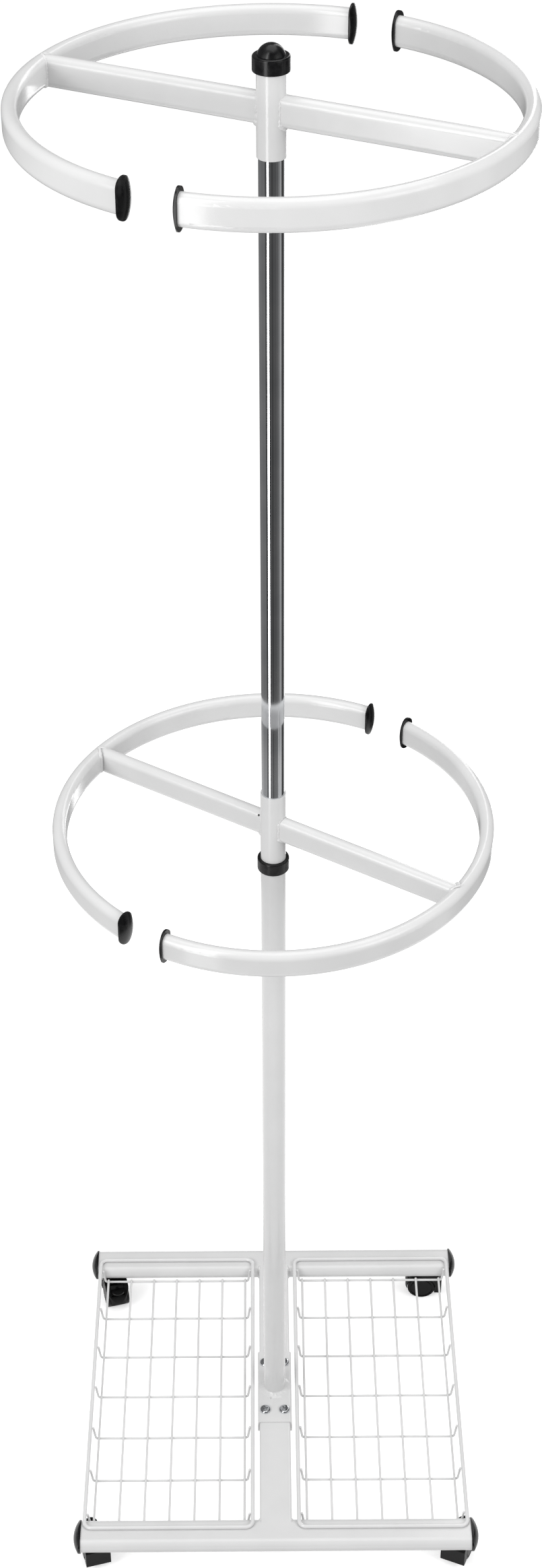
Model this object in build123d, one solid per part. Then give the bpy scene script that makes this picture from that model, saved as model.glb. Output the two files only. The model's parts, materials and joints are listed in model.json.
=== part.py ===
from build123d import *
import os
from math import asin, cos, degrees, radians, sin, sqrt

# Two-tier round garment rack: a wheeled base with two wire baskets, a post, a chrome pole and
# two turning rails. Millimetres, +Z up. The origin lies on the floor, under the pole's axis.
# The front of the rack faces -Y.

# ---- overall sizes -------------------------------------------------------------------------
UPPER_RAIL_Z = 1814.0      # floor to the middle of the upper rail
LOWER_RAIL_Z = 994.0       # floor to the middle of the lower rail
UPPER_RAIL_R = 245.5       # outer radius of the upper rail
LOWER_RAIL_R = 242.5       # outer radius of the lower rail
UPPER_SPOKE_DEG = -25.5    # direction of the right-hand spoke, seen from above
LOWER_SPOKE_DEG = -33.5
RAIL_TURN = {"upper_right": 0.0, "upper_left": -0.55, "lower_right": -1.6, "lower_left": -1.8}
                           # degrees between a half rail's middle and its spoke, as welded
BAR_LENGTH = 487.0         # foot bar tube, without its end caps
BAR_SPACING = 455.0        # front foot bar to rear foot bar, centre to centre

# ---- tubes ---------------------------------------------------------------------------------
BAR_W, BAR_H, BAR_WALL = 42.5, 20.0, 1.5         # flat-oval foot bars, lying flat
BEAM_W, BEAM_H, BEAM_WALL = 40.0, 20.0, 1.5      # rectangular centre beam
BEAM_CORNER_R = 2.5
RAIL_H, RAIL_T, RAIL_WALL = 31.0, 15.0, 1.2      # flat-oval rails and spokes, standing upright
POLE_R, POLE_WALL = 12.5, 1.2
HUB_WALL = 1.42                                  # wall of the hubs and of the lower post
HUB_ABOVE = 45.0                                 # middle of a rail to its hub's top
HUB_BELOW = {"upper": 45.5, "lower": 43.0}       # middle of a rail to its hub's foot
RAIL_GAP = 53.0                                  # between the two half rails' tube ends

# ---- fits ----------------------------------------------------------------------------------
RUN_FIT = 0.08             # radial clearance of a hub on the pole
PIN_FIT = 0.05             # radial clearance of a pin in its hole
PLUG_FIT = 0.35            # clearance of a plug's spigot in a tube
TURN_GAP = 0.2             # face gap between pieces that turn on each other
SEAT_GAP = 0.2             # a basket's rim over the foot bars
WELD_SINK = 0.25           # how far resistance-welded wires sink into each other

# ---- saddle and its screws -----------------------------------------------------------------
SADDLE_T = 2.0
SADDLE_LENGTH = 118.0
SADDLE_DEPTH = 18.0        # height of the side flanges, with the top plate
SCREW_X, SCREW_Y = 12.5, 39.5
SCREW_R = 3.0
SCREW_LENGTH = 12.0
SCREW_HEAD_R, SCREW_HEAD_H = 7.0, 3.2
SCREW_CROWN = 2.3          # rounding of the pan head's edge
CROSS_ARM, CROSS_W, CROSS_DEPTH = 7.0, 1.5, 1.2      # the cross recess
SCREW_FIT = 0.25           # radial clearance of the saddle screws
SADDLE_BEND_R = 1.0        # inside radius of the saddle's bends
NUT_TURN = 30.0            # flats of the saddle nuts along the beam
NUT_FLATS, NUT_H = 10.0, 5.0

# ---- collars, plugs and caps ---------------------------------------------------------------
COLLAR_WALL = 3.7          # collar's outside over the outside of the hubs and the post
COLLAR_H = 15.0
COLLAR_LAP = 8.0           # how far the collar reaches over the post
CAP_H = 15.0               # height of the top cap's collar
CAP_LAP = 9.0              # how far the top cap reaches over the upper hub
COLLAR_FILLET = 2.0
DOME_INSET = 4.4           # collar's edge to the dome's edge
DOME_H = 10.5
POLE_INSERT = 150.0        # length of pole inside the lower post
POLE_SHORT = 14.0          # the pole's top end below the upper hub's top
SEAT_PLUG_H = 20.0
TOP_PLUG_H = 14.0
TOP_PLUG_FLANGE = 2.0
BALL_R = 4.0
SPIGOT_DEPTH = 10.0
SPIGOT_WALL = 2.0
# An end plug's head: straight rim, dome over the rim, and how far its edge stands out over the
# tube's narrow ends and over its flat sides.
RAIL_PLUG = {"rim": 2.4, "dome": 3.2, "end_lip": 4.7, "side_lip": 2.6}
FOOT_CAP = {"rim": 3.4, "dome": 6.0, "end_lip": 1.5, "side_lip": 1.4}
PLUG_DOME_REACH = 1.6      # the dome's ellipsoid is this many times as wide as the head
VENT_R = 1.3               # drain hole in the lower left spoke
VENT_GAP = 0.9             # between the hole's edge and the hub
VENT_UP = 11.8             # above the spoke's middle

# ---- castors -------------------------------------------------------------------------------
CROWN_H = 6.0              # wheel's top to the underside of the foot bars
CASTOR_END = 18.5          # from a foot bar's tube end to the castor's stem
CASTOR_TRAIL = 18.0        # stem axis to wheel axle
WHEEL_R, WHEEL_W = 19.0, 10.2
WHEEL_SIDE_GAP = 0.3       # between a wheel and the hood's web
WHEEL_DISH = 0.8           # depth of the ring groove in a wheel's outer face
WHEEL_GROOVE = 1.4         # width of that groove
WHEEL_EDGE_R = 1.6
WHEEL_BORE_END = 2.0       # left solid at the outer end of the bore
AXLE_SHORT = 2.5           # each end of the axle inside its wheel's outer face
TREAD_T = 3.2              # tread between the groove and the floor
AXLE_R = 2.5
STEM_R = 3.5
STEM_RISE = 14.0           # stem inside the foot bar
STEM_FLANGE_R, STEM_FLANGE_H = 9.0, 1.4
STEM_NUT_FLATS, STEM_NUT_H = 13.0, 5.0
HOOD_LIP = 0.5             # hood's side beyond the wheel's outer face
HOOD_REAR_R = 12.0         # rounding of the hood's rear corners, seen from above
HOOD_SHELL = 2.2
HOOD_FRONT = 10.0          # stem axis to the hood's front face
HOOD_BROW_X, HOOD_BROW_Z = 5.0, 7.0      # slope between the front face and the top
HOOD_SKIRT_Z = 11.0
HOOD_MOUTH = 1.0           # the hood's open side starts this far below the axle
WEB_HALF_W = 4.8
WHEEL_GAP = 0.8            # between a wheel's tread and its hood
LEVER_HALF_W = 9.0
LEVER_TIP = 5.5            # the lever's tip beyond the tread
LEVER_GAP = 1.4            # between the tread and the lever's pad
LEVER_PAD_T, LEVER_TAB_T = 1.8, 2.4
LEVER_TAB_X, LEVER_TAB_DROP, LEVER_TAB_RISE = 12.0, 0.4, 1.4
LEVER_PIN_R = 1.5
LEVER_PIN_X, LEVER_PIN_Z = 10.0, 11.0    # from the wheel axle
LEVER_EAR_T, LEVER_EAR_W = 4.0, 6.0
LEVER_EAR_GAP = 2.0        # the ear's slot beyond the ear, downwards
LEVER_EAR_CUT = 1.0        # taken off the ear's foot
LEVER_SLOT = 0.5           # clearance round the lever in its slot
LEVER_FROM_DEG, LEVER_TO_DEG = 30.0, 78.0    # the slot in the hood, up from the trailing direction
LEVER_SWING = 6.5          # degrees left free between the pad and each end of the slot
CASTOR_TURN = {"front_left": 105.0, "front_right": 67.0, "rear_left": -75.0, "rear_right": 178.0}

# ---- baskets -------------------------------------------------------------------------------
RIM_WIRE_R = 2.5
GRID_WIRE_R = 1.5
RIM_CORNER_R = 9.0
RIM_BAR_INSET = 3.5        # from a foot bar's centre line to the rim wire
RIM_POLE_GAP = 7.0         # saddle's side to the inner rim wire's centre
RIM_END_INSET = 4.0        # tube end to the outer rim wire's centre
BASKET_DEPTH = 21.0        # rim wire to cross wires, centre to centre
LONG_WIRES, CROSS_WIRES = 7, 7
LONG_WIRE_MARGIN = 10.5    # rim wire to the first long wire
CROSS_WIRE_GAP = 1.2       # between the last cross wire and the foot bar beside it
CROSS_BEND_MARGIN = 6.5    # rim wire to the bend of a cross wire
CROSS_BEND_R = 4.0
WIRE_OVERHANG = 0.5        # long wires past the last cross wire's centre

# ---- worked out ----------------------------------------------------------------------------
HUB_BORE_R = POLE_R + RUN_FIT
HUB_R = HUB_BORE_R + HUB_WALL
COLLAR_R = HUB_R + COLLAR_WALL
DOME_R = COLLAR_R - DOME_INSET
CASTOR_H = 2 * WHEEL_R + CROWN_H
BAR_Z = CASTOR_H + BAR_H / 2
BAR_TOP = CASTOR_H + BAR_H
BAR_Y = BAR_SPACING / 2
BEAM_TOP = BAR_Z + BEAM_H / 2
SADDLE_TOP = BEAM_TOP + SADDLE_T
COLLAR_TOP = LOWER_RAIL_Z - HUB_BELOW["lower"] - TURN_GAP
CAP_BOTTOM = UPPER_RAIL_Z + HUB_ABOVE - CAP_LAP
CAP_TOP = CAP_BOTTOM + CAP_H
POLE_BOTTOM = COLLAR_TOP - POLE_INSERT
POLE_TOP = UPPER_RAIL_Z + HUB_ABOVE - POLE_SHORT
CASTOR_X = BAR_LENGTH / 2 - CASTOR_END
HOOD_TOP = CASTOR_H - STEM_FLANGE_H - TURN_GAP
CANOPY_R = WHEEL_R + WHEEL_GAP + HOOD_SHELL
WHEEL_INNER_Y = WEB_HALF_W + WHEEL_SIDE_GAP
HOOD_HALF_W = WHEEL_INNER_Y + WHEEL_W + HOOD_LIP


def stadium(length, thickness):
    """A flat-oval face with its long side along X."""
    return SlotOverall(length, thickness) if length > thickness else Circle(thickness / 2)


def flat_oval_tube(width, height, wall):
    """The section of a flat-oval tube, long side along X."""
    return stadium(width, height) - stadium(width - 2 * wall, height - 2 * wall)


def tube(outer_r, inner_r, low, high):
    """An upright round tube on the Z axis."""
    ring = Circle(outer_r) - Circle(inner_r)
    return Pos(0, 0, low) * extrude(ring, high - low)


def rod(radius, low, high):
    """An upright round bar on the Z axis."""
    return Pos(0, 0, low) * extrude(Circle(radius), high - low)


def hexagon_nut(flats, height, bore_r):
    """A hexagon nut standing on z = 0."""
    outline = RegularPolygon(flats / 2, 6, major_radius=False)
    return extrude(outline - Circle(bore_r), height)


def domed_plug(width, height, wall, head):
    """A flat-oval tube's end plug: the tube end is z = 0, the dome points along +Z, long side on X."""
    long_half = width / 2 + head["end_lip"]
    short_half = height / 2 + head["side_lip"]
    top = head["rim"] + head["dome"]
    drop = 1 - sqrt(1 - 1 / PLUG_DOME_REACH ** 2)
    rise = head["dome"] / drop
    dome = scale(Sphere(1), by=(PLUG_DOME_REACH * long_half, PLUG_DOME_REACH * short_half, rise))
    plug = extrude(stadium(2 * long_half, 2 * short_half), top) & Pos(0, 0, top - rise) * dome
    inner_w = width - 2 * (wall + PLUG_FIT)
    inner_h = height - 2 * (wall + PLUG_FIT)
    spigot = stadium(inner_w, inner_h) - stadium(inner_w - 2 * SPIGOT_WALL, inner_h - 2 * SPIGOT_WALL)
    return plug + extrude(spigot, -SPIGOT_DEPTH)


# ---- base ----------------------------------------------------------------------------------
def level_bar(section, side):
    """A section laid flat and drawn out to a foot bar's length, at the front or the rear."""
    bar = extrude(section, BAR_LENGTH / 2, both=True)
    return Pos(0, side * BAR_Y, BAR_Z) * Rot(0, 90, 0) * Rot(0, 0, 90) * bar


def foot_bar(side):
    """Flat-oval foot bar with a stem hole under each end."""
    bar = level_bar(flat_oval_tube(BAR_W, BAR_H, BAR_WALL), side)
    for x in (-CASTOR_X, CASTOR_X):
        bar -= Pos(x, side * BAR_Y, 0) * rod(STEM_R + PIN_FIT, CASTOR_H - 1, CASTOR_H + BAR_WALL + 1)
    return bar


def foot_end_caps(side):
    """The two domed caps of one foot bar."""
    caps = []
    for end in (-1, 1):
        cap = domed_plug(BAR_W, BAR_H, BAR_WALL, FOOT_CAP)
        place = Pos(end * BAR_LENGTH / 2, side * BAR_Y, BAR_Z) * Rot(0, end * 90, 0) * Rot(0, 0, 90)
        caps.append(place * cap)
    return Compound(children=caps)


def centre_beam():
    """Rectangular tube between the foot bars, coped to them, with the four screw holes on top."""
    flat_half = BAR_W / 2 - BAR_H / 2
    length = BAR_SPACING - 2 * flat_half
    outer = RectangleRounded(BEAM_W, BEAM_H, BEAM_CORNER_R)
    inner = RectangleRounded(BEAM_W - 2 * BEAM_WALL, BEAM_H - 2 * BEAM_WALL, BEAM_CORNER_R - BEAM_WALL)
    beam = Pos(0, 0, BAR_Z) * Rot(90, 0, 0) * extrude(outer - inner, length / 2, both=True)
    for side in (-1, 1):
        beam -= level_bar(stadium(BAR_W, BAR_H), side)
    for x, y in screw_places():
        beam -= Pos(x, y, 0) * rod(SCREW_R + SCREW_FIT, BEAM_TOP - BEAM_WALL - 1, BEAM_TOP + 1)
    return beam


def screw_places():
    return [(x, y) for x in (-SCREW_X, SCREW_X) for y in (-SCREW_Y, SCREW_Y)]


def saddle_bracket():
    """Inverted U of sheet over the beam; the post stands on it."""
    width = BEAM_W + 2 * SADDLE_T
    block = Pos(0, 0, SADDLE_TOP - SADDLE_DEPTH / 2) * Box(width, SADDLE_LENGTH, SADDLE_DEPTH)
    bends = block.edges().filter_by(Axis.Y).group_by(Axis.Z)[-1]
    block = fillet(bends, SADDLE_T + SADDLE_BEND_R)
    channel = Pos(0, 0, BEAM_TOP - SADDLE_DEPTH / 2) * Box(BEAM_W, SADDLE_LENGTH + 2, SADDLE_DEPTH)
    channel = fillet(channel.edges().filter_by(Axis.Y).group_by(Axis.Z)[-1], SADDLE_BEND_R)
    bracket = block - channel
    for x, y in screw_places():
        bracket -= Pos(x, y, 0) * rod(SCREW_R + SCREW_FIT, BEAM_TOP - 1, SADDLE_TOP + 1)
    return bracket


def pan_screw():
    """Pan-head cross-recess screw; the underside of the head is z = 0."""
    head = extrude(Circle(SCREW_HEAD_R), SCREW_HEAD_H)
    head = fillet(head.edges().group_by(Axis.Z)[-1], SCREW_CROWN)
    shank = rod(SCREW_R, -SCREW_LENGTH, 0)
    cross = Box(CROSS_ARM, CROSS_W, 2 * CROSS_DEPTH) + Box(CROSS_W, CROSS_ARM, 2 * CROSS_DEPTH)
    return head + shank - Pos(0, 0, SCREW_HEAD_H) * cross


def saddle_screws():
    turns = (20, 65, 40, 10)
    places = zip(screw_places(), turns)
    return Compound(children=[Pos(x, y, SADDLE_TOP) * Rot(0, 0, a) * pan_screw() for (x, y), a in places])


def saddle_nuts():
    low = BEAM_TOP - BEAM_WALL - NUT_H
    nut = hexagon_nut(NUT_FLATS, NUT_H, SCREW_R + PIN_FIT)
    return Compound(children=[Pos(x, y, low) * Rot(0, 0, NUT_TURN) * nut for x, y in screw_places()])


# ---- post and pole -------------------------------------------------------------------------
def lower_post():
    return tube(HUB_R, HUB_BORE_R, SADDLE_TOP, COLLAR_TOP - COLLAR_H + COLLAR_LAP)


def pole_seat_plug():
    """Plug pinned inside the post, on which the pole stands."""
    return rod(HUB_BORE_R - PIN_FIT, POLE_BOTTOM - SEAT_PLUG_H, POLE_BOTTOM)


def post_collar():
    """Collar on the post's top end: it centres the pole and carries the lower hub."""
    body = rod(COLLAR_R, COLLAR_TOP - COLLAR_H, COLLAR_TOP)
    body = fillet(body.edges(), COLLAR_FILLET / 2)
    body -= rod(HUB_R + PIN_FIT, COLLAR_TOP - COLLAR_H - 1, COLLAR_TOP - COLLAR_H + COLLAR_LAP)
    return body - rod(POLE_R + PIN_FIT, COLLAR_TOP - COLLAR_H - 1, COLLAR_TOP + 1)


def chrome_pole():
    return tube(POLE_R, POLE_R - POLE_WALL, POLE_BOTTOM, POLE_TOP)


def pole_top_plug():
    """Plug in the pole's top end, with a cup for the thrust ball."""
    inner_r = POLE_R - POLE_WALL - PIN_FIT
    plug = rod(inner_r, POLE_TOP - TOP_PLUG_H, POLE_TOP)
    plug += rod(POLE_R - 0.3, POLE_TOP, POLE_TOP + TOP_PLUG_FLANGE)
    ball_z = POLE_TOP + TOP_PLUG_FLANGE
    return plug - Pos(0, 0, ball_z) * Sphere(BALL_R + PIN_FIT)


def thrust_ball():
    return Pos(0, 0, POLE_TOP + TOP_PLUG_FLANGE) * Sphere(BALL_R)


def top_cap_collar():
    """Collar pressed over the upper hub's top end."""
    body = rod(COLLAR_R, CAP_BOTTOM, CAP_TOP)
    body = fillet(body.edges().group_by(Axis.Z)[-1], COLLAR_FILLET)
    body = fillet(body.edges().group_by(Axis.Z)[0], COLLAR_FILLET / 2)
    body -= rod(HUB_R + PIN_FIT, CAP_BOTTOM - 1, CAP_BOTTOM + CAP_LAP)
    return body - rod(HUB_BORE_R, CAP_BOTTOM - 1, CAP_TOP + 1)


def top_cap_dome():
    """Dome on the collar; its stem turns on the thrust ball and locks the collar to the hub."""
    ball_top = POLE_TOP + TOP_PLUG_FLANGE + BALL_R
    curve_r = (DOME_R ** 2 + DOME_H ** 2) / (2 * DOME_H)
    dome = Pos(0, 0, CAP_TOP + DOME_H - curve_r) * Sphere(curve_r)
    dome &= rod(DOME_R + 1, CAP_TOP, CAP_TOP + DOME_H + 1)
    return dome + rod(HUB_BORE_R - PIN_FIT, ball_top + TURN_GAP, CAP_TOP)


# ---- rails ---------------------------------------------------------------------------------
def rail_sweep(section, radius, z, middle, span):
    """A section with its long side on X, stood upright at the rail's radius and turned about Z."""
    start = middle - span / 2
    face = Rot(0, 0, start) * Pos(radius - RAIL_T / 2, 0, 0) * Rot(90, 0, 0) * Rot(0, 0, 90) * section
    return Pos(0, 0, z) * revolve(face, Axis.Z, span)


def rail_span(radius):
    return 180.0 - 2 * degrees(asin(RAIL_GAP / 2 / (radius - RAIL_T / 2)))


def half_rail(radius, z, middle):
    section = flat_oval_tube(RAIL_H, RAIL_T, RAIL_WALL)
    return rail_sweep(section, radius, z, middle, rail_span(radius))


def rail_plugs(radius, z, middle):
    """The two end plugs of one half rail."""
    plugs = []
    for end in (-1, 1):
        plug = domed_plug(RAIL_H, RAIL_T, RAIL_WALL, RAIL_PLUG)
        upright = Rot(-end * 90, 0, 0) * Rot(0, 0, 90)
        turn = middle + end * rail_span(radius) / 2
        plugs.append(Pos(0, 0, z) * Rot(0, 0, turn) * Pos(radius - RAIL_T / 2, 0, 0) * upright * plug)
    return Compound(children=plugs)


def hub(z, below):
    return tube(HUB_R, HUB_BORE_R, z - below, z + HUB_ABOVE)


def spoke(radius, z, direction, vent=False):
    """Flat-oval spoke, coped to the hub at one end and to the rail at the other."""
    section = flat_oval_tube(RAIL_H, RAIL_T, RAIL_WALL)
    reach = radius - RAIL_T / 2
    bar = Rot(0, 90, 0) * extrude(section, reach)
    bar -= Cylinder(HUB_R, 2 * RAIL_H)
    rail = rail_sweep(stadium(RAIL_H, RAIL_T), radius, 0, 0, 20)
    bar -= rail
    if vent:
        along = HUB_R + VENT_GAP
        bar -= Pos(along, RAIL_T / 2, VENT_UP) * Rot(90, 0, 0) * Cylinder(VENT_R, RAIL_T)
    return Pos(0, 0, z) * Rot(0, 0, direction) * bar


# ---- baskets -------------------------------------------------------------------------------
def basket_rim_places(side):
    """The x of the inner and of the outer rim wire."""
    inner = BEAM_W / 2 + SADDLE_T + RIM_POLE_GAP
    outer = BAR_LENGTH / 2 - RIM_END_INSET
    return side * inner, side * outer


def rim_z():
    return BAR_TOP + SEAT_GAP + RIM_WIRE_R


def basket_rim(side):
    inner, outer = basket_rim_places(side)
    width = abs(outer - inner)
    length = 2 * (BAR_Y - RIM_BAR_INSET)
    middle = Pos((inner + outer) / 2, 0, rim_z())
    path = RectangleRounded(width, length, RIM_CORNER_R).face().outer_wire()
    start = path.position_at(0)
    section = Plane(origin=start, z_dir=path.tangent_at(0)) * Circle(RIM_WIRE_R)
    return middle * sweep(section, path=path)


def cross_wire_ys():
    last = BAR_Y - BAR_W / 2 - CROSS_WIRE_GAP - GRID_WIRE_R
    return [last * (2 * i / (CROSS_WIRES - 1) - 1) for i in range(CROSS_WIRES)]


def cross_wires(side):
    """Floor wires across the basket, with both ends bent up and out to the rim."""
    inner, outer = basket_rim_places(side)
    low_x, high_x = sorted((inner, outer))
    floor_z = rim_z() - BASKET_DEPTH
    bend = CROSS_BEND_MARGIN
    end_x = RIM_WIRE_R + GRID_WIRE_R - WELD_SINK
    end_z = rim_z()
    wires = []
    for y in cross_wire_ys():
        points = [(low_x + end_x, y, end_z), (low_x + bend, y, floor_z),
                  (high_x - bend, y, floor_z), (high_x - end_x, y, end_z)]
        path = FilletPolyline(*points, radius=CROSS_BEND_R)
        section = Plane(origin=path.position_at(0), z_dir=path.tangent_at(0)) * Circle(GRID_WIRE_R)
        wires.append(sweep(section, path=path))
    return Compound(children=wires)


def long_wires(side):
    """Wires along the basket, lying on the cross wires."""
    inner, outer = basket_rim_places(side)
    low_x, high_x = sorted((inner, outer))
    z = rim_z() - BASKET_DEPTH + 2 * GRID_WIRE_R - WELD_SINK
    ys = cross_wire_ys()
    start = ys[0] - WIRE_OVERHANG
    length = ys[-1] + WIRE_OVERHANG - start
    first = low_x + LONG_WIRE_MARGIN
    pitch = (high_x - low_x - 2 * LONG_WIRE_MARGIN) / (LONG_WIRES - 1)
    wires = []
    for i in range(LONG_WIRES):
        wire = Rot(-90, 0, 0) * extrude(Circle(GRID_WIRE_R), length)
        wires.append(Pos(first + i * pitch, start, z) * wire)
    return Compound(children=wires)


# ---- castors -------------------------------------------------------------------------------
# A castor is drawn with its stem on the Z axis, its wheels trailing along +X and its axle along Y.
def castor_places():
    places = {}
    for corner, turn in CASTOR_TURN.items():
        x = -CASTOR_X if corner.endswith("left") else CASTOR_X
        y = -BAR_Y if corner.startswith("front") else BAR_Y
        places[corner] = Pos(x, y, 0) * Rot(0, 0, turn)
    return places


def across(radius, width, x, z, middle_y=0.0):
    """A cylinder along Y."""
    return Pos(x, middle_y, z) * Rot(90, 0, 0) * Cylinder(radius, width)


def side_profile(points, half_width):
    """A closed outline given as (x, z), made as thick as the castor needs along Y."""
    outline = make_face(Polyline(*[(x, z) for x, z in points], close=True))
    return Rot(90, 0, 0) * extrude(outline, half_width, both=True)


def sector(r_in, r_out, from_deg, to_deg, half_width, x, z):
    """Part of a ring about the wheel axle, angles from the trailing direction upwards."""
    ring = across(r_out, 2 * half_width, x, z) - across(r_in, 4 * half_width, x, z)
    far = 4 * r_out
    a, b = radians(from_deg), radians(to_deg)
    middle = (a + b) / 2
    points = [(0, 0), (far * cos(a), far * sin(a)), (far * cos(middle), far * sin(middle)),
              (far * cos(b), far * sin(b))]
    wedge = side_profile(points, 4 * half_width)
    return ring & (Pos(x, 0, z) * wedge)


def castor_hood():
    """Hood, with the web between the wheels, the stem bore, and slots for axle, pin and lever."""
    x, z = CASTOR_TRAIL, WHEEL_R
    block = side_profile([(-HOOD_FRONT, HOOD_SKIRT_Z), (-HOOD_FRONT, HOOD_TOP - HOOD_BROW_Z),
                          (-HOOD_FRONT + HOOD_BROW_X, HOOD_TOP), (x, HOOD_TOP), (x, HOOD_SKIRT_Z)],
                         HOOD_HALF_W)
    canopy = across(CANOPY_R, 2 * HOOD_HALF_W, x, z)
    far = 2 * CANOPY_R
    canopy -= side_profile([(x - far, -far), (x + far, -far), (x + far, z - HOOD_MOUTH), (x, HOOD_SKIRT_Z),
                            (x - far, HOOD_SKIRT_Z)], 2 * HOOD_HALF_W)
    length = HOOD_FRONT + x + CANOPY_R
    plan = Pos((x + CANOPY_R - HOOD_FRONT) / 2, 0, CASTOR_H / 2) * Box(length, 2 * HOOD_HALF_W, CASTOR_H)
    plan = fillet(plan.edges().filter_by(Axis.Z).group_by(Axis.X)[-1], HOOD_REAR_R)
    hood = (block + canopy) & plan
    for side in (-1, 1):
        middle = side * (WEB_HALF_W + HOOD_HALF_W)
        hood -= across(WHEEL_R + WHEEL_GAP, 2 * HOOD_HALF_W, x, z, middle)
    hood -= rod(STEM_R + PIN_FIT, HOOD_SKIRT_Z + 4, CASTOR_H)
    hood -= across(AXLE_R, 4 * HOOD_HALF_W, x, z)
    hood -= across(LEVER_PIN_R, 4 * HOOD_HALF_W, x + LEVER_PIN_X, z + LEVER_PIN_Z)
    hood -= sector(WHEEL_R + WHEEL_GAP, far, LEVER_FROM_DEG, LEVER_TO_DEG, LEVER_HALF_W + LEVER_SLOT, x, z)
    slot_bottom = z + LEVER_PIN_Z - LEVER_EAR_W / 2 - LEVER_EAR_GAP
    slot_w = 2 * LEVER_EAR_W + 1.0
    slot_h = CASTOR_H - slot_bottom
    slot = Box(slot_w, LEVER_EAR_T + 2 * LEVER_SLOT, slot_h)
    return hood - Pos(x + LEVER_PIN_X, 0, slot_bottom + slot_h / 2) * slot


def castor_pins():
    """Wheel axle and lever pin."""
    axle = across(AXLE_R, 2 * (WHEEL_INNER_Y + WHEEL_W - AXLE_SHORT), CASTOR_TRAIL, WHEEL_R)
    pin = across(LEVER_PIN_R, 2 * WEB_HALF_W - 0.4, CASTOR_TRAIL + LEVER_PIN_X, WHEEL_R + LEVER_PIN_Z)
    return Compound(children=[axle, pin])


def castor_wheel(side):
    """Moulded wheel with a dished outer face; its blind bore runs on the axle."""
    middle = side * (WHEEL_INNER_Y + WHEEL_W / 2)
    outer = side * (WHEEL_INNER_Y + WHEEL_W)
    wheel = across(WHEEL_R, WHEEL_W, CASTOR_TRAIL, WHEEL_R, middle)
    wheel = fillet(wheel.edges(), WHEEL_EDGE_R)
    groove = across(WHEEL_R - TREAD_T, 2 * WHEEL_DISH, CASTOR_TRAIL, WHEEL_R, outer)
    groove -= across(WHEEL_R - TREAD_T - WHEEL_GROOVE, 4 * WHEEL_DISH, CASTOR_TRAIL, WHEEL_R, outer)
    wheel -= groove
    bore_depth = WHEEL_W - WHEEL_BORE_END
    bore_middle = side * (WHEEL_INNER_Y + bore_depth / 2 - 0.5)
    return wheel - across(AXLE_R + PIN_FIT, bore_depth + 1.0, CASTOR_TRAIL, WHEEL_R, bore_middle)


def brake_lever():
    """Foot lever: a curved pad over the treads, a tab to step on, and an ear on the lever pin."""
    x, z = CASTOR_TRAIL, WHEEL_R
    pad_r = WHEEL_R + LEVER_GAP
    pad = sector(pad_r, pad_r + LEVER_PAD_T, LEVER_FROM_DEG + LEVER_SWING, LEVER_TO_DEG - LEVER_SWING,
                 LEVER_HALF_W, x, z)
    root_x = x + LEVER_TAB_X
    root_z = z + WHEEL_R - LEVER_TAB_DROP
    tip_x = x + WHEEL_R + LEVER_TIP
    tip_z = root_z + LEVER_TAB_RISE
    tab = side_profile([(root_x, root_z - LEVER_TAB_T), (root_x, root_z), (tip_x, tip_z),
                        (tip_x, tip_z - LEVER_TAB_T)], LEVER_HALF_W)
    round_x = tip_x - LEVER_HALF_W
    plan = Pos(round_x, 0, 0) * extrude(Circle(LEVER_HALF_W), 2 * CASTOR_H)
    plan += Pos(round_x / 2, 0, CASTOR_H) * Box(round_x, 2 * LEVER_HALF_W, 2 * CASTOR_H)
    tab &= plan
    ear_low = z + LEVER_PIN_Z - LEVER_EAR_W / 2 + LEVER_EAR_CUT
    ear_high = z + pad_r - 0.4
    ear = Box(LEVER_EAR_W, LEVER_EAR_T, ear_high - ear_low)
    ear = Pos(x + LEVER_PIN_X, 0, (ear_low + ear_high) / 2) * ear
    lever = pad + tab + ear
    return lever - across(LEVER_PIN_R + PIN_FIT, 30, x + LEVER_PIN_X, z + LEVER_PIN_Z)


def castor_stems():
    stem = rod(STEM_R, HOOD_SKIRT_Z + 5, CASTOR_H + STEM_RISE)
    stem += rod(STEM_FLANGE_R, CASTOR_H - STEM_FLANGE_H, CASTOR_H)
    return Compound(children=[place * stem for place in castor_places().values()])


def castor_stem_nuts():
    nut = Pos(0, 0, CASTOR_H + BAR_WALL) * hexagon_nut(STEM_NUT_FLATS, STEM_NUT_H, STEM_R + PIN_FIT)
    return Compound(children=[place * nut for place in castor_places().values()])


# ---- all nodes -----------------------------------------------------------------------------
def rail_nodes(level, radius, z, spoke_deg):
    """Hub, spokes, half rails and plugs of one rail."""
    nodes = {level + "_hub": hub(z, HUB_BELOW[level])}
    for name, way in (("right", spoke_deg), ("left", spoke_deg + 180.0)):
        vent = level == "lower" and name == "left"
        nodes[f"{level}_{name}_spoke"] = spoke(radius, z, way, vent)
        middle = way + RAIL_TURN[f"{level}_{name}"]
        nodes[f"{level}_{name}_rail"] = half_rail(radius, z, middle)
        nodes[f"{level}_{name}_rail_plugs"] = rail_plugs(radius, z, middle)
    return nodes


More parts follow.
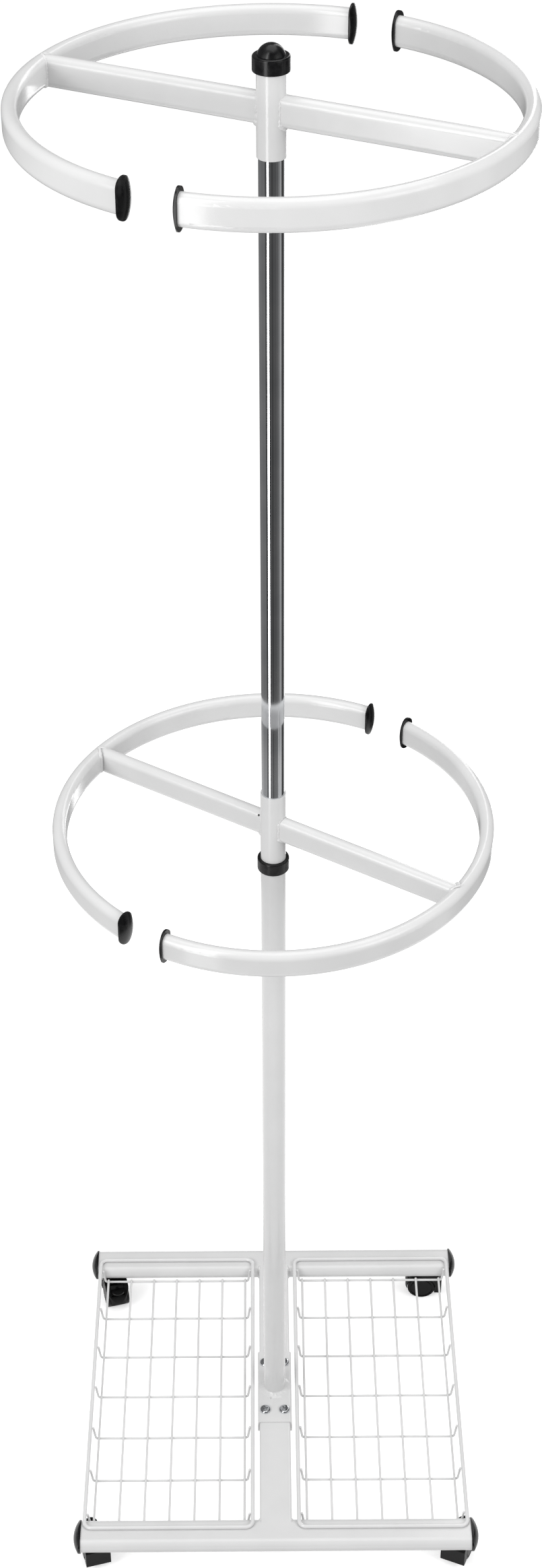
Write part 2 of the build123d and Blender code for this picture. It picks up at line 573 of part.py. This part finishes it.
def all_nodes():
    nodes = {
        "front_foot_bar": foot_bar(-1),
        "rear_foot_bar": foot_bar(1),
        "front_foot_end_caps": foot_end_caps(-1),
        "rear_foot_end_caps": foot_end_caps(1),
        "centre_beam": centre_beam(),
        "saddle_bracket": saddle_bracket(),
        "saddle_screws": saddle_screws(),
        "saddle_nuts": saddle_nuts(),
        "lower_post": lower_post(),
        "pole_seat_plug": pole_seat_plug(),
        "post_collar": post_collar(),
        "chrome_pole": chrome_pole(),
        "pole_top_plug": pole_top_plug(),
        "thrust_ball": thrust_ball(),
        "top_cap_collar": top_cap_collar(),
        "top_cap_dome": top_cap_dome(),
        "castor_stems": castor_stems(),
        "castor_stem_nuts": castor_stem_nuts(),
    }
    nodes.update(rail_nodes("upper", UPPER_RAIL_R, UPPER_RAIL_Z, UPPER_SPOKE_DEG))
    nodes.update(rail_nodes("lower", LOWER_RAIL_R, LOWER_RAIL_Z, LOWER_SPOKE_DEG))
    for name, side in (("left", -1), ("right", 1)):
        nodes[f"{name}_basket_rim"] = basket_rim(side)
        nodes[f"{name}_basket_cross_wires"] = cross_wires(side)
        nodes[f"{name}_basket_long_wires"] = long_wires(side)
    for corner, place in castor_places().items():
        nodes[f"{corner}_castor_hood"] = place * castor_hood()
        nodes[f"{corner}_castor_pins"] = place * castor_pins()
        nodes[f"{corner}_castor_wheel_a"] = place * castor_wheel(1)
        nodes[f"{corner}_castor_wheel_b"] = place * castor_wheel(-1)
        nodes[f"{corner}_brake_lever"] = place * brake_lever()
    return nodes


os.makedirs("parts", exist_ok=True)
for node, shape in all_nodes().items():
    export_step(shape, f"parts/{node}.step")
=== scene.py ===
import json
import math

import bmesh
import bpy
from mathutils import Matrix, Vector, noise


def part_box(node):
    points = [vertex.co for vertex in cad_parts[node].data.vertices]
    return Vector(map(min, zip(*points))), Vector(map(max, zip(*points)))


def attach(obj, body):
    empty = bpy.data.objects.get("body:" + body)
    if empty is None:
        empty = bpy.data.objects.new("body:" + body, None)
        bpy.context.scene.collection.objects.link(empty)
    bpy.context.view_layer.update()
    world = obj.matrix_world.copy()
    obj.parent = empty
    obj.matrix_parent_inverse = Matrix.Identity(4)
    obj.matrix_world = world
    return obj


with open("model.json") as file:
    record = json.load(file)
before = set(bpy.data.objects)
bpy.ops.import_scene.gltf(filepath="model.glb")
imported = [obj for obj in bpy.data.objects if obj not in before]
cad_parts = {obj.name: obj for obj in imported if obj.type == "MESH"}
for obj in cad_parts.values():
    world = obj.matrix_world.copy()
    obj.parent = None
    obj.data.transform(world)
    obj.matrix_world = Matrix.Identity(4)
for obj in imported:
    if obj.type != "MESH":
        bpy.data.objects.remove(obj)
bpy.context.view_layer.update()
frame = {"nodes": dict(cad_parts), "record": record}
record = frame["record"]
nodes = frame["nodes"]
scene = bpy.context.scene
MM = 0.001


# ---- camera --------------------------------------------------------------------------------
# A slightly long lens, well above head height, looking down over the upper rail.
CAMERA_PLACE = Vector((-0.01163, -2.2083, 2.6677))
LOOK_DOWN, TURN, ROLL = math.radians(35.831), math.radians(0.272), math.radians(-0.167)

ahead = Vector((math.sin(TURN) * math.cos(LOOK_DOWN), math.cos(TURN) * math.cos(LOOK_DOWN),
                -math.sin(LOOK_DOWN)))
level_right = Vector((math.cos(TURN), -math.sin(TURN), 0))
level_up = level_right.cross(ahead)
right = level_right * math.cos(ROLL) + level_up * math.sin(ROLL)
up = level_up * math.cos(ROLL) - level_right * math.sin(ROLL)
camera = bpy.data.objects.new("camera", bpy.data.cameras.new("camera"))
camera.matrix_world = Matrix.Translation(CAMERA_PLACE) @ Matrix((right, up, -ahead)).transposed().to_4x4()
camera.data.sensor_width = 36.0
camera.data.lens = 57.647
camera.data.shift_y = -0.01067
camera.data.clip_start, camera.data.clip_end = 0.05, 60.0
scene.collection.objects.link(camera)
scene.camera = camera


# ---- finishes ------------------------------------------------------------------------------
NOISE_LOW, NOISE_HIGH = 0.3, 0.7       # a noise pattern seldom goes outside these
SHADE_RANGE = (0.35, 0.65)             # the pattern's values that get a finish's two shades


def linear(hex_colour):
    """An sRGB hex colour as linear red, green, blue and 1."""
    parts = [int(hex_colour[i:i + 2], 16) / 255 for i in (1, 3, 5)]
    return [p / 12.92 if p <= 0.04045 else ((p + 0.055) / 1.055) ** 2.4 for p in parts] + [1.0]


def add(tree, kind, inputs=(), shades=()):
    """Adds a node with its settings and links. inputs holds (socket, value or output that feeds
    it), and shades a ramp's dark and light colours."""
    node = tree.nodes.new(kind)
    if shades:
        for stop, place, shade in zip(node.color_ramp.elements, SHADE_RANGE, shades):
            stop.position = place
            stop.color = linear(shade)
    for socket, value in inputs:
        if isinstance(value, bpy.types.NodeSocket):
            tree.links.new(value, node.inputs[socket])
        else:
            node.inputs[socket].default_value = value
    return node


def new_finish(name):
    """An empty material and its node tree."""
    material = bpy.data.materials.new(name)
    material.use_nodes = True
    material.node_tree.nodes.clear()
    return material, material.node_tree


def per_metre(size_mm):
    """Noise scale whose lumps are about that many millimetres wide."""
    return 1.0 / (size_mm * MM)


def powder_coat(name, peel_mm, peel_depth_mm, dark, light):
    """Stoved white polyester powder on steel: a thick gloss skin that pulls into orange peel, so
    highlights break up at their edges, with a very faint unevenness of colour."""
    material, tree = new_finish(name)
    place = add(tree, "ShaderNodeTexCoord").outputs["Object"]
    peel = add(tree, "ShaderNodeTexNoise", [
        ("Vector", place), ("Scale", per_metre(peel_mm)), ("Detail", 2.0), ("Roughness", 0.45)])
    drift = add(tree, "ShaderNodeTexNoise", [("Vector", place), ("Scale", per_metre(45)), ("Detail", 3.0)])
    dust = add(tree, "ShaderNodeTexNoise", [("Vector", place), ("Scale", per_metre(7)), ("Detail", 4.0)])
    gloss = add(tree, "ShaderNodeMapRange", [
        ("Value", dust.outputs["Fac"]), ("From Min", NOISE_LOW), ("From Max", NOISE_HIGH),
        ("To Min", 0.15), ("To Max", 0.2)])
    bumps = add(tree, "ShaderNodeBump", [
        ("Height", peel.outputs["Fac"]), ("Strength", 1.0), ("Distance", peel_depth_mm * MM)])
    colour = add(tree, "ShaderNodeValToRGB", [("Fac", drift.outputs["Fac"])], shades=(dark, light))
    shader = add(tree, "ShaderNodeBsdfPrincipled", [
        ("Base Color", colour.outputs["Color"]), ("Roughness", gloss.outputs["Result"]),
        ("Normal", bumps.outputs["Normal"]), ("IOR", 1.5)])
    add(tree, "ShaderNodeOutputMaterial", [("Surface", shader.outputs["BSDF"])])
    return material


def chromed_tube(name):
    """Decorative chrome over nickel on drawn tube: a near mirror that keeps the faint lengthwise
    lines of the polishing belt, so its reflections run in straight streaks. The real lines are
    about 0.1 mm apart and are drawn coarser so that they show."""
    material, tree = new_finish(name)
    place = add(tree, "ShaderNodeTexCoord").outputs["Object"]
    drawn = add(tree, "ShaderNodeMapping", [("Vector", place), ("Scale", (1.0, 1.0, 0.004))])
    lines = add(tree, "ShaderNodeTexNoise", [
        ("Vector", drawn.outputs["Vector"]), ("Scale", per_metre(1.1)), ("Detail", 2.0)])
    haze = add(tree, "ShaderNodeTexNoise", [("Vector", place), ("Scale", per_metre(30)), ("Detail", 3.0)])
    gloss = add(tree, "ShaderNodeMapRange", [
        ("Value", haze.outputs["Fac"]), ("From Min", NOISE_LOW), ("From Max", NOISE_HIGH),
        ("To Min", 0.035), ("To Max", 0.075)])
    bumps = add(tree, "ShaderNodeBump", [
        ("Height", lines.outputs["Fac"]), ("Strength", 1.0), ("Distance", 0.006 * MM)])
    colour = add(tree, "ShaderNodeValToRGB", [("Fac", haze.outputs["Fac"])], shades=("#d3d5d8", "#dfe0e2"))
    shader = add(tree, "ShaderNodeBsdfPrincipled", [
        ("Base Color", colour.outputs["Color"]), ("Roughness", gloss.outputs["Result"]),
        ("Normal", bumps.outputs["Normal"]), ("Metallic", 1.0)])
    add(tree, "ShaderNodeOutputMaterial", [("Surface", shader.outputs["BSDF"])])
    return material


def moulded_plastic(name, grain_mm, grain_depth_mm, dark, light, smooth, rough, shine):
    """Injection-moulded plastic with a fine spark-eroded grain from the mould. The real grain is
    about 0.1 mm and is drawn coarser so that it still breaks up the sheen."""
    material, tree = new_finish(name)
    place = add(tree, "ShaderNodeTexCoord").outputs["Object"]
    grain = add(tree, "ShaderNodeTexNoise", [
        ("Vector", place), ("Scale", per_metre(grain_mm)), ("Detail", 3.0)])
    flow = add(tree, "ShaderNodeTexNoise", [
        ("Vector", place), ("Scale", per_metre(6)), ("Detail", 3.0), ("Distortion", 0.6)])
    gloss = add(tree, "ShaderNodeMapRange", [
        ("Value", flow.outputs["Fac"]), ("From Min", NOISE_LOW), ("From Max", NOISE_HIGH),
        ("To Min", smooth), ("To Max", rough)])
    bumps = add(tree, "ShaderNodeBump", [
        ("Height", grain.outputs["Fac"]), ("Strength", 1.0), ("Distance", grain_depth_mm * MM)])
    colour = add(tree, "ShaderNodeValToRGB", [("Fac", flow.outputs["Fac"])], shades=(dark, light))
    shader = add(tree, "ShaderNodeBsdfPrincipled", [
        ("Base Color", colour.outputs["Color"]), ("Roughness", gloss.outputs["Result"]),
        ("Normal", bumps.outputs["Normal"]), ("Specular IOR Level", shine)])
    add(tree, "ShaderNodeOutputMaterial", [("Surface", shader.outputs["BSDF"])])
    return material


def bare_metal(name, dark, light, mark_mm, smooth, rough):
    """Plated or turned steel: a bright metal whose clouding or tool marks blur the reflections.
    Real tool marks are about 0.2 mm apart and are drawn coarser so that they show."""
    material, tree = new_finish(name)
    place = add(tree, "ShaderNodeTexCoord").outputs["Object"]
    marks = add(tree, "ShaderNodeTexNoise", [
        ("Vector", place), ("Scale", per_metre(mark_mm)), ("Detail", 3.0)])
    gloss = add(tree, "ShaderNodeMapRange", [
        ("Value", marks.outputs["Fac"]), ("From Min", NOISE_LOW), ("From Max", NOISE_HIGH),
        ("To Min", smooth), ("To Max", rough)])
    bumps = add(tree, "ShaderNodeBump", [
        ("Height", marks.outputs["Fac"]), ("Strength", 1.0), ("Distance", 0.01 * MM)])
    colour = add(tree, "ShaderNodeValToRGB", [("Fac", marks.outputs["Fac"])], shades=(dark, light))
    shader = add(tree, "ShaderNodeBsdfPrincipled", [
        ("Base Color", colour.outputs["Color"]), ("Roughness", gloss.outputs["Result"]),
        ("Normal", bumps.outputs["Normal"]), ("Metallic", 1.0)])
    add(tree, "ShaderNodeOutputMaterial", [("Surface", shader.outputs["BSDF"])])
    return material


# One finish for each material slot of the record.
FINISHES = {
    "white_powder_coat": powder_coat("white_polyester_powder_coat", 1.5, 0.035, "#d3d3d3", "#d6d6d6"),
    "white_wire": powder_coat("white_powder_coat_on_wire", 1.4, 0.015, "#d6d6d6", "#dadada"),
    "chrome": chromed_tube("chrome_plated_steel_tube"),
    "black_plastic": moulded_plastic(
        "black_polyethylene_caps", 0.7, 0.012, "#0c0c0d", "#141415", 0.2, 0.3, 0.3),
    "castor_plastic": moulded_plastic(
        "black_nylon_castors", 0.8, 0.02, "#050506", "#090909", 0.34, 0.44, 0.12),
    "zinc_screw": bare_metal("bright_zinc_plated_screws", "#c3c5c9", "#dddfe1", 1.5, 0.06, 0.14),
    "steel_pin": bare_metal("plain_turned_steel", "#8c8e92", "#a2a4a8", 0.5, 0.25, 0.38),
    "white_nylon": moulded_plastic("natural_nylon_plugs", 0.8, 0.015, "#d6d4cc", "#dfddd6", 0.38, 0.5, 0.5),
}
for part in record["subparts"]:
    mesh = nodes[part["node"]].data
    mesh.materials.clear()
    mesh.materials.append(FINISHES[part["material_slot"]])


# ---- weld metal ----------------------------------------------------------------------------
SPOKE_T = 15 * MM                      # thickness of the spokes' flat-oval tube
WELD_STEP_MM = 0.5                     # between two points along a run
SIDES = 16                             # points round a run
# Half width and height of each kind of run.
HUB_RUN = (2.2 * MM, 1.6 * MM)
RAIL_RUN = (1.7 * MM, 1.2 * MM)
BEAM_RUN = (2.0 * MM, 1.5 * MM)
SPATTER_RUN = (1.3 * MM, 1.0 * MM)


def middle(node):
    """Middle of a node's box."""
    low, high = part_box(node)
    return (low + high) / 2


def bearing(node):
    """Direction of a node from the pole, seen from above."""
    total = sum((v.co for v in nodes[node].data.vertices), Vector())
    return math.atan2(total.y, total.x)


def reach(node):
    """Largest distance of a node from the pole's axis."""
    return max(v.co.to_2d().length for v in nodes[node].data.vertices)


def uneven(place, size_mm, seed):
    """Smooth noise between about -1 and 1 with lumps of that size."""
    return noise.noise(place / (size_mm * MM) + Vector((seed * 7.3, seed * 3.1, seed * 1.7)))


def ridge(work, path, outward, size, seed, closed, fullness=None):
    """One run of weld metal along a path, thick and thin as the torch moved, with its ripples.
    fullness holds how full the run is at each point."""
    half_width, height = size
    rings = []
    count = len(path)
    for i, place in enumerate(path):
        back = path[i - 1] if closed or i else path[i]
        ahead_of = path[(i + 1) % count] if closed or i < count - 1 else path[i]
        along = (ahead_of - back).normalized()
        side = along.cross(outward[i]).normalized()
        lump = 1 + 0.3 * uneven(place, 5, seed)
        if fullness:
            lump *= fullness[i]
        if not closed:
            lump *= min(1.0, 0.35 + 0.22 * min(i, count - 1 - i))
        ring = []
        for k in range(SIDES):
            angle = 2 * math.pi * k / SIDES
            offset = side * (math.cos(angle) * half_width) + outward[i] * (math.sin(angle) * height)
            spatter = 0.3 * uneven(place + offset, 2.2, seed + 1)
            spatter += 0.14 * uneven(place + offset, 1.0, seed + 2)
            ring.append(work.verts.new(place + offset * (lump + spatter)))
        rings.append(ring)
    for i in range(count if closed else count - 1):
        a, b = rings[i], rings[(i + 1) % count]
        for k in range(SIDES):
            work.faces.new((a[k], a[(k + 1) % SIDES], b[(k + 1) % SIDES], b[k]))
    if not closed:
        work.faces.new(list(reversed(rings[0])))
        work.faces.new(rings[-1])


def made(name, work, body, slot):
    """Turns finished weld metal into a smooth piece that moves with a body."""
    bmesh.ops.recalc_face_normals(work, faces=work.faces)
    mesh = bpy.data.meshes.new(name)
    work.to_mesh(mesh)
    work.free()
    piece = bpy.data.objects.new(name, mesh)
    scene.collection.objects.link(piece)
    mesh.materials.append(FINISHES[slot])
    for face in mesh.polygons:
        face.use_smooth = True
    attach(piece, body)


def flat_oval(height, thickness, step_mm):
    """Points round an upright flat oval, as (across, up) and the outward direction there."""
    straight = (height - thickness) / 2
    radius = thickness / 2
    turn_steps = max(8, round(math.pi * radius / (step_mm * MM)))
    line_steps = max(4, round(2 * straight / (step_mm * MM)))
    outline = []
    for sign in (1, -1):
        for i in range(turn_steps):
            angle = math.pi * i / turn_steps + (0 if sign > 0 else math.pi)
            outline.append((radius * math.cos(angle), sign * straight + radius * math.sin(angle),
                            math.cos(angle), math.sin(angle)))
        for i in range(line_steps):
            share = i / line_steps
            outline.append((-sign * radius, sign * straight * (1 - 2 * share), -sign, 0.0))
    return outline


def spoke_welds(level):
    """Fillet runs where both spokes meet the hub and their rails."""
    hub_low, hub_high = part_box(level + "_hub")
    hub_r = (hub_high.x - hub_low.x) / 2
    spoke_low, spoke_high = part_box(level + "_right_spoke")
    height = spoke_high.z - spoke_low.z
    centre = Vector((0, 0, middle(level + "_hub").z))
    rail_middle = reach(level + "_right_rail") - SPOKE_T / 2
    for name, first_seed in (("left", 3), ("right", 11)):
        spoke = f"{level}_{name}_spoke"
        way = bearing(spoke)
        turn = Matrix.Rotation(way, 3, "Z")
        seed = first_seed + (20 if level == "upper" else 0)
        front = -1 if math.cos(way) > 0 else 1
        at_hub, at_rail, hub_out, rail_out, fullness = [], [], [], [], []
        for across, rise, out_y, out_z in flat_oval(height, SPOKE_T, WELD_STEP_MM):
            # Thin along the top, full underneath, with a bulge at the lower front.
            bulge = 0.55 if front * across > 0 and out_z < -0.3 else 0.0
            fullness.append(0.62 - 0.32 * out_z + bulge + 0.4 * uneven(Vector((across, rise, 0)), 6, seed))
            along = math.sqrt(hub_r ** 2 - across ** 2)
            at_hub.append(turn @ Vector((along, across, rise)) + centre)
            hub_out.append((turn @ Vector((0.75, out_y, out_z))).normalized())
            over = max(0.0, abs(rise) - (height - SPOKE_T) / 2)
            along = rail_middle - math.sqrt(max(0.0, (SPOKE_T / 2) ** 2 - over ** 2))
            at_rail.append(turn @ Vector((along, across, rise)) + centre)
            rail_out.append((turn @ Vector((-0.75, out_y, out_z))).normalized())
        work = bmesh.new()
        ridge(work, at_hub, hub_out, HUB_RUN, seed, True, fullness)
        ridge(work, at_rail, rail_out, RAIL_RUN, seed + 5, True)
        made(f"{spoke}_welds", work, level + "_rail", "white_powder_coat")


def post_foot_weld():
    """Wide smooth fillet round the post's foot, with one run of spatter in front."""
    low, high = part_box("lower_post")
    post_r = (high.x - low.x) / 2
    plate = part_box("saddle_bracket")[1].z
    leg, rise = 6.6 * MM, 4.6 * MM       # along the plate and up the post
    bury, sink = 0.2 * MM, 0.05 * MM     # into the post and into the plate
    belly = 1.2 * MM                     # how far the fillet's face bulges
    spatter_x, spatter_up = -5.2 * MM, 0.3 * MM    # left of the middle, above the plate
    work = bmesh.new()
    around, steps = 120, 12
    rings = []
    for i in range(around):
        angle = 2 * math.pi * i / around
        way = Vector((math.cos(angle), math.sin(angle), 0))
        ring = []
        for k in range(steps + 1):
            bend = math.pi / 2 * k / steps
            out = post_r - bury + leg * (1 - math.cos(bend))
            lift = rise * (1 - math.sin(bend))
            place = way * out + Vector((0, 0, plate + lift - sink))
            lump = 0.5 * uneven(place, 7, 5) + 0.22 * uneven(place, 2, 6)
            swell = math.sin(2 * bend) * belly
            place += (way + Vector((0, 0, 1))) * swell * (0.55 + lump)
            ring.append(work.verts.new(place))
        rings.append(ring)
    for i in range(around):
        a, b = rings[i], rings[(i + 1) % around]
        for k in range(steps):
            work.faces.new((a[k], b[k], b[k + 1], a[k + 1]))
    run = [Vector((spatter_x, -(post_r + leg * share), plate + spatter_up))
           for share in (0.5, 0.65, 0.8, 0.95, 1.1)]
    ridge(work, run, [Vector((0, 0, 1))] * len(run), SPATTER_RUN, 2, False)
    made("post_foot_weld", work, "frame", "white_powder_coat")


def beam_welds():
    """Short upright runs at the beam's sides, where it meets the foot bars."""
    beam_low, beam_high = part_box("centre_beam")
    first, sweep, steps = -62, 140, 24   # first angle and turn in degrees, and steps along a run
    work = bmesh.new()
    for bar in ("front_foot_bar", "rear_foot_bar"):
        low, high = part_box(bar)
        radius = (high.z - low.z) / 2
        bar_middle = (low + high) / 2
        to_beam = 1 if bar_middle.y < 0 else -1
        flat_half = (high.y - low.y) / 2 - radius
        for side in (-1, 1):
            x = beam_high.x if side > 0 else beam_low.x
            path, outward = [], []
            for i in range(steps + 1):
                angle = math.radians(first + sweep * i / steps)
                y = bar_middle.y + to_beam * (flat_half + radius * math.cos(angle))
                path.append(Vector((x, y, bar_middle.z + radius * math.sin(angle))))
                lean = Vector((side, to_beam * 0.8 * math.cos(angle), 0.8 * math.sin(angle)))
                outward.append(lean.normalized())
            ridge(work, path, outward, BEAM_RUN, 31 + side + to_beam * 4, False)
    made("beam_welds", work, "frame", "white_powder_coat")


spoke_welds("upper")
spoke_welds("lower")
post_foot_weld()
beam_welds()


# ---- studio --------------------------------------------------------------------------------
FOOT_TOP, BODY_BOTTOM = 0.1, 0.4       # heights between which a panel's two strengths blend


def floor_paint(name, dark, light, glow):
    """Matt pale paint, lit from below like the white sweep of a catalogue studio."""
    material, tree = new_finish(name)
    place = add(tree, "ShaderNodeTexCoord").outputs["Object"]
    mottle = add(tree, "ShaderNodeTexNoise", [("Vector", place), ("Scale", per_metre(770)), ("Detail", 3.0)])
    colour = add(tree, "ShaderNodeValToRGB", [("Fac", mottle.outputs["Fac"])], shades=(dark, light))
    shader = add(tree, "ShaderNodeBsdfPrincipled", [
        ("Base Color", colour.outputs["Color"]), ("Roughness", 0.9), ("Specular IOR Level", 0.1),
        ("Emission Color", linear("#ffffff")), ("Emission Strength", glow)])
    add(tree, "ShaderNodeOutputMaterial", [("Surface", shader.outputs["BSDF"])])
    return material


def panel_light(name, colour, strength, foot_strength):
    """A lit panel with its own strength near the floor."""
    material, tree = new_finish(name)
    place = add(tree, "ShaderNodeTexCoord").outputs["Object"]
    level = add(tree, "ShaderNodeSeparateXYZ", [("Vector", place)])
    rise = add(tree, "ShaderNodeMapRange", [
        ("Value", level.outputs["Z"]), ("From Min", FOOT_TOP), ("From Max", BODY_BOTTOM),
        ("To Min", foot_strength), ("To Max", strength)])
    glow = add(tree, "ShaderNodeEmission", [
        ("Color", linear(colour)), ("Strength", rise.outputs["Result"])])
    add(tree, "ShaderNodeOutputMaterial", [("Surface", glow.outputs["Emission"])])
    return material


def stage_piece(name, corners, faces, material):
    """A piece of the studio, which isn't part of the rack."""
    mesh = bpy.data.meshes.new(name)
    mesh.from_pydata(corners, [], faces)
    mesh.materials.append(material)
    piece = bpy.data.objects.new(name, mesh)
    scene.collection.objects.link(piece)
    return piece


FLOOR_HALF = 20.0
floor_corners = [(x * FLOOR_HALF, y * FLOOR_HALF, 0) for x, y in ((-1, -1), (1, -1), (1, 1), (-1, 1))]
floor = stage_piece("studio_floor", floor_corners, [(0, 1, 2, 3)],
                    floor_paint("pale_floor_paint", "#f7f7f7", "#f9f9f9", glow=0.42))
floor.visible_diffuse = False          # its glow stays off the rack, whose underside keeps its shade

# Grey flags and bright strips stand in a ring round the rack. Only reflections show them, and they
# give the chrome its dark bands and narrow bright lines from every side.
# Each is: from, to (degrees, 0 in front of the rack, to the right positive), colour, strength,
# strength near the floor.
RING_R, RING_TOP = 1.15, 3.4
RING = [(-180, -100, "#7c7c7c", 1.0, 2.6), (-100, -60, "#767676", 1.0, 2.6), (-60, -42, "#4a4a4a", 1.0, 2.6),
        (-42, -25, "#ffffff", 5.0, 0.3), (-25, -12, "#454545", 1.0, 2.6), (-12, -5, "#626262", 1.0, 2.6),
        (-5, 12, "#484848", 1.0, 2.6), (12, 40, "#585858", 1.0, 2.6), (40, 62, "#666666", 1.0, 2.6),
        (62, 78, "#8c8c8c", 1.0, 2.6), (78, 95, "#adadad", 1.0, 2.2), (95, 113, "#2c2c2c", 1.0, 1.0),
        (113, 150, "#757575", 1.0, 1.0), (150, 163, "#ffffff", 3.0, 3.0), (163, 180, "#5c5c5c", 1.0, 1.0)]
for number, (start, stop, colour, strength, foot_strength) in enumerate(RING):
    corners, faces = [], []
    steps = max(2, round((stop - start) / 5))
    for i in range(steps + 1):
        angle = math.radians(start + (stop - start) * i / steps)
        for z in (0.0, RING_TOP):
            corners.append((RING_R * math.sin(angle), -RING_R * math.cos(angle), z))
    for i in range(steps):
        faces.append((2 * i, 2 * i + 1, 2 * i + 3, 2 * i + 2))
    finish = panel_light(f"studio_panel_{number}", colour, strength, foot_strength)
    panel = stage_piece(f"studio_panel_{number}", corners, faces, finish)
    panel.visible_camera = panel.visible_diffuse = panel.visible_shadow = False
    panel.visible_transmission = panel.visible_volume_scatter = False


def soft_light(name, place, aim, width, height, power):
    """An area lamp of that size in metres and power in watts, turned to face a point."""
    light = bpy.data.objects.new(name, bpy.data.lights.new(name, "AREA"))
    light.data.shape = "RECTANGLE"
    light.data.size, light.data.size_y = width, height
    light.data.energy = power
    light.location = place
    light.rotation_euler = (Vector(aim) - Vector(place)).to_track_quat("-Z", "Y").to_euler()
    scene.collection.objects.link(light)


soft_light("key_left", (-2.0, -1.6, 2.3), (0, 0, 1.75), 1.4, 1.4, 42)
soft_light("fill_right", (2.0, -1.5, 2.4), (0, 0, 1.75), 1.4, 1.4, 32)
soft_light("overhead", (0.2, 0.4, 4.2), (0, 0, 0), 2.6, 2.6, 34)
scene.world = bpy.data.worlds.new("studio")
scene.world.use_nodes = True
backdrop = scene.world.node_tree.nodes["Background"]
backdrop.inputs["Color"].default_value = linear("#ffffff")
backdrop.inputs["Strength"].default_value = 0.61
scene.view_settings.view_transform = "Standard"
